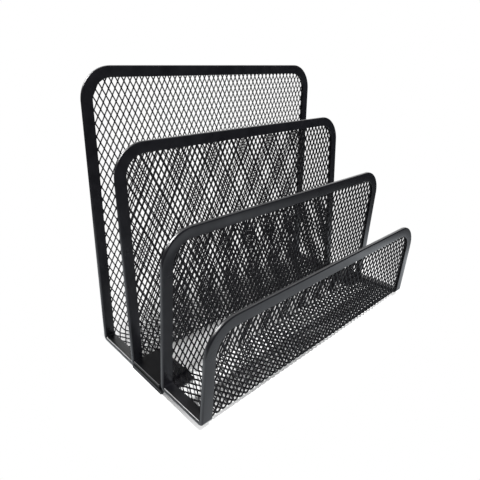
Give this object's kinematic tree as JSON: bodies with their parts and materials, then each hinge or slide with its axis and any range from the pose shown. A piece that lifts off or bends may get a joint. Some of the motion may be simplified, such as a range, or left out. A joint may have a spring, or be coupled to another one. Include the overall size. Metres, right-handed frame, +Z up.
{
  "type": "magazine file holder",
  "caption": "Stepped desk holder for files, magazines and letters: upright expanded-metal panels with rounded tops, edged in folded steel, and open-ended slots between them.",
  "frame": {"origin": "centre of the footprint, on the surface that the holder stands on", "axes": "+Z up, +Y to the back, where the tallest panel stands, +X to the right as seen from the front"},
  "size_m": [0.179, 0.0964, 0.1525],
  "materials": {
    "rim_coating": "semi-gloss black powder coat on folded steel strip",
    "mesh_coating": "semi-gloss black powder coat on expanded steel mesh",
    "plate_coating": "semi-gloss black powder coat on sheet steel"
  },
  "bodies": {
    "root": {"back_panel_rim": "rim_coating", "second_panel_rim": "rim_coating", "third_panel_rim": "rim_coating", "front_panel_rim": "rim_coating", "rear_floor_rail_left": "rim_coating", "rear_floor_rail_right": "rim_coating", "front_floor_rail_left": "rim_coating", "front_floor_rail_right": "rim_coating", "back_panel_mesh": "mesh_coating", "second_panel_mesh": "mesh_coating", "rear_floor_mesh": "mesh_coating", "third_panel_mesh": "mesh_coating", "front_panel_mesh": "mesh_coating", "front_floor_mesh": "mesh_coating", "bridge_plate_left": "plate_coating", "bridge_plate_right": "plate_coating"}
  },
  "joints": []
}
